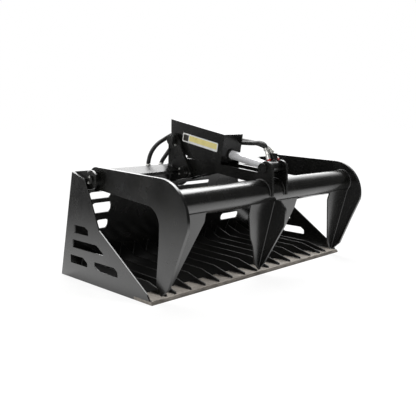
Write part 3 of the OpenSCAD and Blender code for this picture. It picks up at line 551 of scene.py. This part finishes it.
def soften_everything():
    for width, names in ((PLATE_BREAK, plate_nodes), (SHEET_BREAK, sheet_nodes),
                         (FINE_BREAK, fine_nodes), (NO_BREAK, unbroken_nodes)):
        for node in names:
            piece = soften(node, width, cut_highlight_of_node.get(node))
            if node in tine_names:
                # The tines' sides take the duller copy of the paint, as painted shade
                piece.data.materials[0] = shaded_tine_paint


# Weld beads, laid wherever a plate's edge stands on its neighbour
WELD_STEP = 0.002
WELD_REACH = 0.0007
RIPPLE_PITCH = 0.006
RIPPLE_SHARE = 0.10
SHORTEST_WELD = 0.015
BEAD_SIDES = 1
TUBE_BEAD, CLAW_BEAD, PLATE_BEAD, TINE_BEAD = 0.006, 0.005, 0.004, 0.0035
# Beads stay off the floor and off the outside of the side plates
LOWEST_WELD = 0.006
WIDEST_WELD = frame_box[1][0] - 0.005


def seat_surface(names):
    corners, faces = [], []
    for name in names:
        bm = merged_copy(name)
        bmesh.ops.triangulate(bm, faces=bm.faces)
        start = len(corners)
        bm.verts.index_update()
        corners += [v.co.copy() for v in bm.verts]
        faces += [[start + v.index for v in f.verts] for f in bm.faces]
        bm.free()
    return BVHTree.FromPolygons(corners, faces)


def seams(node, seats):
    """Runs of points along the node's sharp edges that lie on the seats' surface."""
    surface = seat_surface(seats)
    bm = merged_copy(node)
    runs = []
    for edge in bm.edges:
        if len(edge.link_faces) == 2 and edge.calc_face_angle(0) < EDGE_TURN:
            continue
        start, end = edge.verts[0].co, edge.verts[1].co
        steps = max(1, round((end - start).length / WELD_STEP))
        run = []
        for i in range(steps + 1):
            point = start.lerp(end, i / steps)
            within = point.z > LOWEST_WELD and abs(point.x) < WIDEST_WELD
            if within and surface.find_nearest(point, WELD_REACH)[0] is not None:
                run.append(point)
            else:
                if len(run) > 1:
                    runs.append(run)
                run = []
        if len(run) > 1:
            runs.append(run)
    bm.free()
    return joined_runs(runs)


def place_key(point):
    """The cell, as wide as the weld's reach, that the point lies in."""
    return tuple(round(c / WELD_REACH) for c in point)


def joined_runs(runs):
    """Runs that share an end point become one."""
    joined = True
    while joined:
        joined = False
        at_end = {}
        for i, run in enumerate(runs):
            for end in (run[0], run[-1]):
                at_end.setdefault(place_key(end), []).append(i)
        for place, users in at_end.items():
            if len(users) == 2 and users[0] != users[1]:
                first, second = (runs[i] for i in users)
                if place_key(first[0]) == place:
                    first = first[::-1]
                if place_key(second[0]) != place:
                    second = second[::-1]
                runs = [r for i, r in enumerate(runs) if i not in users] + [first + second[1:]]
                joined = True
                break
    return [r for r in runs
            if sum((b - a).length for a, b in zip(r, r[1:])) > SHORTEST_WELD]


def tube_mesh(name, paths, radius, sides, ripple=0.0):
    """A mesh of round bars along those paths."""
    curve = bpy.data.curves.new(name, "CURVE")
    curve.dimensions = "3D"
    curve.bevel_depth = radius
    curve.bevel_resolution = sides
    curve.use_fill_caps = True
    for path in paths:
        spline = curve.splines.new("POLY")
        spline.points.add(len(path) - 1)
        travel = 0.0
        for i, (point, place) in enumerate(zip(spline.points, path)):
            if i:
                travel += (place - path[i - 1]).length
            point.co = (*place, 1)
            point.radius = 1 + ripple * math.sin(2 * math.pi * travel / RIPPLE_PITCH)
    holder = bpy.data.objects.new(name + "_path", curve)
    bpy.context.collection.objects.link(holder)
    bpy.context.view_layer.update()
    mesh = bpy.data.meshes.new_from_object(
        holder.evaluated_get(bpy.context.evaluated_depsgraph_get()))
    bpy.data.objects.remove(holder)
    for face in mesh.polygons:
        face.use_smooth = True
    return mesh


def weld(name, joints, radius):
    """One piece of beads for several joints, each a node and the nodes that it stands on."""
    paths = [run for node, seats in joints for run in seams(node, seats)]
    piece = add_object(name, tube_mesh(name, paths, radius, BEAD_SIDES, RIPPLE_SHARE))
    settle(piece, body_of_node[joints[0][0]], "black_paint")


def weld_everything():
    sides = ("left", "right")
    weld("lid_tube_welds", [("lid_tube", ["lid_arm_left", "lid_arm_right"])], TUBE_BEAD)
    weld("claw_welds", [("centre_claw_plate", ["lid_tube"]), ("centre_claw_fin", ["lid_tube"]),
                        ("centre_claw_fin", ["centre_claw_plate"])]
         + [("side_claw_" + s, ["lid_tube", "lid_arm_" + s]) for s in sides], CLAW_BEAD)
    weld("lug_welds", [("centre_arm_" + s, ["lid_tube"]) for s in sides], TUBE_BEAD)
    weld("tine_welds", [(n, ["cutting_edge", "back_plate"]) for n in tine_names], TINE_BEAD)
    weld("side_welds", [("side_plate_" + s, ["cutting_edge"]) for s in sides]
         + [("back_plate", ["side_plate_left", "side_plate_right"])], PLATE_BEAD)
    weld("ear_welds", [("hinge_ear_" + s, ["top_rail", "side_plate_" + s]) for s in sides],
         PLATE_BEAD)
    weld("mast_welds", [("mast_plate_" + s, ["top_rail", "back_plate"]) for s in sides],
         CLAW_BEAD)
    weld("attach_welds", [(n, ["back_plate"]) for n in ("attach_lip", "attach_foot",
                                                        "attach_gussets")], PLATE_BEAD)


# The cylinder's own frame: across, up from its axis, along it from the base pin

base_pin = Vector(joint_at["cylinder_pivot"])
rod_pin = sum(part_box("rod_pin_middle"), Vector()) / 2
along = (rod_pin - base_pin).normalized()
upward = Vector((1, 0, 0)).cross(along)
if upward.z < 0:
    upward = -upward


def on_cylinder(across, up, reach):
    return base_pin + Vector((across, 0, 0)) + up * upward + reach * along


# Hose ends, as the frame has them
HOSE_RADIUS = 0.015
PORT_SPREAD = 0.070
BASE_PORT_END = 0.0425
ROD_PORT_END = 0.3525
ROD_PORT_TURN = math.radians(35)
BULKHEADS = (-0.239, -0.121)
BULKHEAD_HALF = 0.020
BULKHEAD_INSET = 0.024
COUPLER_TILTS = (math.radians(47), math.radians(20))
COUPLER_FEET = ((0.075, 0.008, 0.0408), (0.043, 0.0525, 0.0375))
COUPLER_REACH = 0.068
bracket_low, bracket_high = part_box("hose_bracket")
bulkhead_rear = bracket_high.y - BULKHEAD_INSET
bulkhead_middle = (bracket_low.z + bracket_high.z) / 2
coupler_ways = [Vector((0, math.sin(t), math.cos(t))) for t in COUPLER_TILTS]
coupler_ends = [rod_pin + Vector(foot) + COUPLER_REACH * way
                for foot, way in zip(COUPLER_FEET, coupler_ways)]
base_port_place = on_cylinder(0, PORT_SPREAD, BASE_PORT_END)
rod_port_place = on_cylinder(PORT_SPREAD * math.sin(ROD_PORT_TURN),
                             PORT_SPREAD * math.cos(ROD_PORT_TURN), ROD_PORT_END)
bulkhead_tops = [Vector((x, bulkhead_rear, bulkhead_middle + BULKHEAD_HALF)) for x in BULKHEADS]
bulkhead_feet = [Vector((x, bulkhead_rear, bulkhead_middle - BULKHEAD_HALF)) for x in BULKHEADS]

HOSE_LEVELS = 2
HOSE_SWELL = 0.0008


def smooth_hoses(node, name):
    """The node's many-sided hoses made round."""
    bm = bmesh.new()
    bm.from_mesh(nodes[node].data)
    bm.transform(nodes[node].matrix_world)
    bmesh.ops.remove_doubles(bm, verts=bm.verts, dist=MERGE_REACH)
    bmesh.ops.join_triangles(bm, faces=bm.faces, cmp_seam=False, cmp_sharp=False,
                             cmp_uvs=False, cmp_vcols=False, cmp_materials=False,
                             angle_face_threshold=EDGE_TURN, angle_shape_threshold=math.pi)
    rough = finish_mesh(bm, name + "_rough")
    round_off = rough.modifiers.new("round_off", "SUBSURF")
    round_off.levels = round_off.render_levels = HOSE_LEVELS
    bpy.context.view_layer.update()
    mesh = bpy.data.meshes.new_from_object(
        rough.evaluated_get(bpy.context.evaluated_depsgraph_get()))
    bpy.data.objects.remove(rough)
    bm = bmesh.new()
    bm.from_mesh(mesh)
    bm.normal_update()
    for vert in bm.verts:
        vert.co += HOSE_SWELL * vert.normal
    for face in bm.faces:
        face.smooth = True
    for edge in bm.edges:
        edge.smooth = True
    bm.to_mesh(mesh)
    bm.free()
    piece = add_object(name, mesh)
    dress(piece, finish_of_slot["hose_rubber"])
    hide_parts(node)
    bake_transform(piece)


SPIN_STEPS = 32


def spun(bm, profile, place, way):
    """Turns a closed profile of (reach along the way, radius) about its axis."""
    turn = Vector((0, 0, 1)).rotation_difference(way).to_matrix().to_4x4()
    shift = Matrix.Translation(place) @ turn
    verts = [bm.verts.new(shift @ Vector((radius, 0, reach))) for reach, radius in profile]
    edges = [bm.edges.new(pair) for pair in zip(verts, verts[1:] + verts[:1])]
    bmesh.ops.spin(bm, geom=verts + edges, cent=place, axis=way, angle=2 * math.pi,
                   steps=SPIN_STEPS, use_merge=True, use_duplicate=False)


RIM_TURN = math.radians(80)
NUT_BREAK_SHARE = 0.12


def hexagon(bm, place, way, across, height):
    """A nut or bolt head standing on place, its corners broken."""
    turn = Vector((0, 0, 1)).rotation_difference(way).to_matrix().to_4x4()
    shift = Matrix.Translation(place + way * height / 2) @ turn
    made = bmesh.ops.create_cone(bm, cap_ends=True, segments=6, radius1=across / math.sqrt(3),
                                 radius2=across / math.sqrt(3), depth=height, matrix=shift)
    rims = [e for e in bm.edges if all(v in made["verts"] for v in e.verts)
            and len(e.link_faces) == 2 and e.calc_face_angle(0) > RIM_TURN]
    bmesh.ops.bevel(bm, geom=rims, offset=height * NUT_BREAK_SHARE, offset_type="OFFSET",
                    affect="EDGES", segments=BREAK_SEGMENTS, profile=0.5, material=-1,
                    clamp_overlap=True)


# A swaged sleeve's shape, as shares of its length and radius
FERRULE_GROOVES = 3
FIRST_GROOVE, GROOVE_PITCH, GROOVE_HALF = 0.28, 0.18, 0.03
GROOVE_SHARE = 0.93
LIP_SHARE, LIP_LENGTH = 0.92, 0.06
SLEEVE_SHARE, BORE_SHARE, NUT_SHARE = 1.2, 0.9, 2.3


def ferrule_profile(length, radius, neck):
    """Swaged sleeve: a crimped end, grooves along it, a turned neck behind the nut."""
    profile = [(0.0, neck), (0.0, radius * GROOVE_SHARE), (length * LIP_LENGTH, radius)]
    for i in range(FERRULE_GROOVES):
        place = length * (FIRST_GROOVE + GROOVE_PITCH * i)
        profile += [(place - length * GROOVE_HALF, radius), (place, radius * GROOVE_SHARE),
                    (place + length * GROOVE_HALF, radius)]
    return profile + [(length * (1 - LIP_LENGTH), radius), (length, radius * LIP_SHARE),
                      (length, neck)]


def ferrules(name, body, ends, length, nut):
    """Sleeves on hose ends, each end a place and the way along which its hose leaves."""
    bm = bmesh.new()
    for place, way in ends:
        spun(bm, ferrule_profile(length, HOSE_RADIUS * SLEEVE_SHARE, HOSE_RADIUS * BORE_SHARE),
             place + way * nut, way)
        hexagon(bm, place, way, HOSE_RADIUS * NUT_SHARE, nut)
    bmesh.ops.recalc_face_normals(bm, faces=bm.faces)
    settle(finish_mesh(bm, name), body, "zinc_plate")


# The label: a bordered plate on the guard's side, in the cylinder's frame
LABEL_START, LABEL_LENGTH = 0.066, 0.346
LABEL_FOOT, LABEL_HEIGHT = 0.008, 0.060
LABEL_FACE = -0.0915
LABEL_SHEET = 0.0015
LABEL_CORNER, BAND_CORNER, BLOCK_CORNER = 0.008, 0.004, 0.005
LABEL_RIM, BLOCK_LENGTH = 0.008, 0.052
BAND_FOOT = 0.0152
PRINT_SHEET = 0.0003
SHEET_CORNER_SEGMENTS = 6


def rounded_sheet(name, start, end, foot, top, inner, outer, corner):
    """A flat sheet on the guard's side, from start to end along it and foot to top, corners rounded."""
    bm = bmesh.new()
    corners = [bm.verts.new(on_cylinder(inner, up, reach))
               for reach, up in ((start, foot), (end, foot), (end, top), (start, top))]
    bm.faces.new(corners)
    bmesh.ops.bevel(bm, geom=corners, offset=corner, offset_type="OFFSET", affect="VERTICES",
                    segments=SHEET_CORNER_SEGMENTS, profile=0.5, material=-1)
    made = bmesh.ops.extrude_face_region(bm, geom=bm.faces[:])
    moved = [g for g in made["geom"] if isinstance(g, bmesh.types.BMVert)]
    bmesh.ops.translate(bm, verts=moved, vec=(outer - inner, 0, 0))
    bmesh.ops.recalc_face_normals(bm, faces=bm.faces)
    return finish_mesh(bm, name)


def add_label():
    end = LABEL_START + LABEL_LENGTH
    top = LABEL_FOOT + LABEL_HEIGHT
    plate = rounded_sheet("label_border", LABEL_START, end, LABEL_FOOT, top,
                          LABEL_FACE + LABEL_SHEET, LABEL_FACE, LABEL_CORNER)
    settle(plate, "cylinder", "label_film", "label_plate")
    under, face = LABEL_FACE + PRINT_SHEET, LABEL_FACE - PRINT_SHEET
    block_end = LABEL_START + LABEL_RIM + BLOCK_LENGTH
    band = rounded_sheet("label_band", block_end + LABEL_RIM, end - LABEL_RIM,
                         LABEL_FOOT + BAND_FOOT, top - LABEL_RIM, under, face, BAND_CORNER)
    block = rounded_sheet("label_block", LABEL_START + LABEL_RIM, block_end,
                          LABEL_FOOT + LABEL_RIM, top - LABEL_RIM, under, face, BLOCK_CORNER)
    for piece, finish in ((band, label_yellow), (block, label_dark)):
        settle(piece, "cylinder", "label_film")
        dress(piece, finish)


# Length and nut height of each kind of ferrule
BULKHEAD_FERRULE, PORT_FERRULE = (0.020, 0.008), (0.024, 0.008)
COUPLER_FERRULE, SHORT_FERRULE = (0.020, 0.006), (0.009, 0.005)
UP, DOWN = Vector((0, 0, 1)), Vector((0, 0, -1))


def add_fittings():
    smooth_hoses("port_hoses", "smooth_port_hoses")
    smooth_hoses("lead_hoses", "smooth_lead_hoses")
    ferrules("bulkhead_ferrules", "bucket", [(p, UP) for p in bulkhead_tops]
             + [(p, DOWN) for p in bulkhead_feet], *BULKHEAD_FERRULE)
    ferrules("port_ferrules", "cylinder", [(base_port_place, -along), (rod_port_place, -along)],
             *PORT_FERRULE)
    # The second coupler's is short, since the guard comes close to it when the lid is open
    couplings = list(zip(coupler_ends, coupler_ways))
    ferrules("coupler_ferrules", "lid", couplings[:1], *COUPLER_FERRULE)
    ferrules("short_coupler_ferrule", "lid", couplings[1:], *SHORT_FERRULE)


dress_nodes()
soften_everything()
weld_everything()
add_label()
add_fittings()

add_camera()
add_studio()
add_floor()
